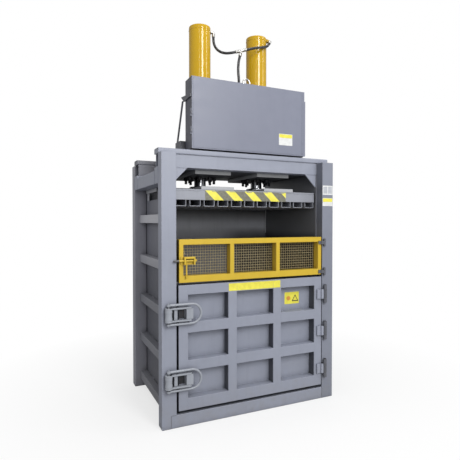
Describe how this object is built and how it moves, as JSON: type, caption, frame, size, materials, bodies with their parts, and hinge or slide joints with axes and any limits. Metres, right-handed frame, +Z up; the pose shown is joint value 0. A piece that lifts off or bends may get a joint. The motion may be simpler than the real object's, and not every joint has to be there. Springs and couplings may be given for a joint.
{
  "type": "recycling baler",
  "caption": "Upright twin-cylinder press baler: ribbed steel chamber, hinged bale door with U-handle latches, wire-mesh feed gate, hydraulic press plate and a power cabinet on the header.",
  "frame": {"origin": "on the floor, at the centre of the outline of the four posts", "axes": "+X to the right seen from the front, +Y to the back, +Z up"},
  "size_m": [1.5, 1.09, 3.1576],
  "materials": {
    "body_paint": "satin blue-grey paint, worn at the edges",
    "wall_paint": "dull dark grey paint",
    "chamber_steel": "scuffed dark sheet steel",
    "platen_paint": "scratched grey paint with a hazard band",
    "pale_paint": "matt pale primer",
    "cylinder_paint": "glossy golden yellow paint",
    "gate_paint": "glossy bright yellow paint",
    "mesh_wire": "dusty yellow-grey welded wire",
    "bare_steel": "plain turned steel",
    "rod_steel": "oily dark ground steel",
    "cabinet_paint": "smooth satin blue-grey powder coat",
    "motor_paint": "satin grey-blue paint",
    "pump_iron": "sand-cast iron",
    "gear_plastic": "moulded light grey plastic",
    "hose_rubber": "black rubber with a woven cover"
  },
  "bodies": {
    "frame": {"barrel_caps": "cylinder_paint", "cabinet_fittings": "bare_steel", "cabinet_hinges": "cabinet_paint", "cabinet_shell": "cabinet_paint", "cabinet_stay": "body_paint", "cable_duct": "body_paint", "control_gear": "gear_plastic", "cylinder_barrels": "cylinder_paint", "cylinder_seats": "pale_paint", "deck_plate": "body_paint", "feed_hose": "hose_rubber", "flange_bolts": "bare_steel", "floor_bearers": "body_paint", "floor_plate": "chamber_steel", "floor_strap_bars": "chamber_steel", "front_header": "body_paint", "front_posts": "body_paint", "header_gussets": "body_paint", "hinge_pins": "bare_steel", "hose_tee": "bare_steel", "latch_keepers": "body_paint", "left_hose": "hose_rubber", "oil_pump": "pump_iron", "oil_tank": "cabinet_paint", "port_elbows": "bare_steel", "post_hinge_knuckles": "body_paint", "pump_motor": "motor_paint", "rear_header": "body_paint", "rear_posts": "body_paint", "rear_ribs": "wall_paint", "rear_wall": "wall_paint", "right_hose": "hose_rubber", "rod_glands": "bare_steel", "side_headers": "body_paint", "side_ribs": "wall_paint", "side_walls": "wall_paint", "sill": "body_paint", "tank_lid": "bare_steel", "valve_manifold": "bare_steel", "window_frames": "pale_paint"},
    "door": {"door_frame": "body_paint", "door_plate": "body_paint", "door_hinge_leaves": "body_paint", "latch_blocks": "body_paint"},
    "upper_yoke": {"upper_latch_yoke": "body_paint"},
    "lower_yoke": {"lower_latch_yoke": "body_paint"},
    "upper_handle": {"upper_latch_handle": "body_paint"},
    "lower_handle": {"lower_latch_handle": "body_paint"},
    "gate": {"gate_frame": "gate_paint", "gate_mesh": "mesh_wire", "gate_hinge_leaves": "body_paint", "gate_bolt_housing": "gate_paint"},
    "gate_bolt": {"gate_bolt": "bare_steel"},
    "platen": {"platen": "platen_paint", "platen_top_plate": "platen_paint", "strap_channels": "platen_paint", "rod_pads": "pale_paint", "piston_rods": "rod_steel", "pistons": "bare_steel"},
    "cabinet_door": {"cabinet_door": "cabinet_paint"}
  },
  "joints": [
    {"name": "door_swing", "type": "hinge", "parent": "frame", "child": "door", "pos_m": [0.66, -0.516, 0.58], "axis": [0, 0, 1], "range_deg": [0, 170]},
    {"name": "upper_yoke_turn", "type": "hinge", "parent": "door", "child": "upper_yoke", "pos_m": [-0.55, -0.532, 0.834], "axis": [0, 0, 1], "range_deg": [0, 90]},
    {"name": "upper_handle_turn", "type": "hinge", "parent": "upper_yoke", "child": "upper_handle", "pos_m": [-0.708, -0.532, 0.834], "axis": [0, 0, 1], "range_deg": [-180, 0]},
    {"name": "lower_yoke_turn", "type": "hinge", "parent": "door", "child": "lower_yoke", "pos_m": [-0.55, -0.532, 0.356], "axis": [0, 0, 1], "range_deg": [0, 90]},
    {"name": "lower_handle_turn", "type": "hinge", "parent": "lower_yoke", "child": "lower_handle", "pos_m": [-0.708, -0.532, 0.356], "axis": [0, 0, 1], "range_deg": [-180, 0]},
    {"name": "gate_swing", "type": "hinge", "parent": "frame", "child": "gate", "pos_m": [0.656, -0.512, 1.2], "axis": [0, 0, 1], "range_deg": [0, 170]},
    {"name": "gate_bolt_slide", "type": "slide", "parent": "gate", "child": "gate_bolt", "axis": [1, 0, 0], "range_m": [0, 0.045]},
    {"name": "platen_press", "type": "slide", "parent": "frame", "child": "platen", "axis": [0, 0, 1], "range_m": [-1.05, 0]},
    {"name": "cabinet_door_swing", "type": "hinge", "parent": "frame", "child": "cabinet_door", "pos_m": [-0.502, -0.425, 2.32], "axis": [0, 0, -1], "range_deg": [0, 110]}
  ],
  "couplings": [
    {"joint": "upper_handle_turn", "follows": "upper_yoke_turn", "ratio": -2},
    {"joint": "lower_handle_turn", "follows": "lower_yoke_turn", "ratio": -2}
  ]
}
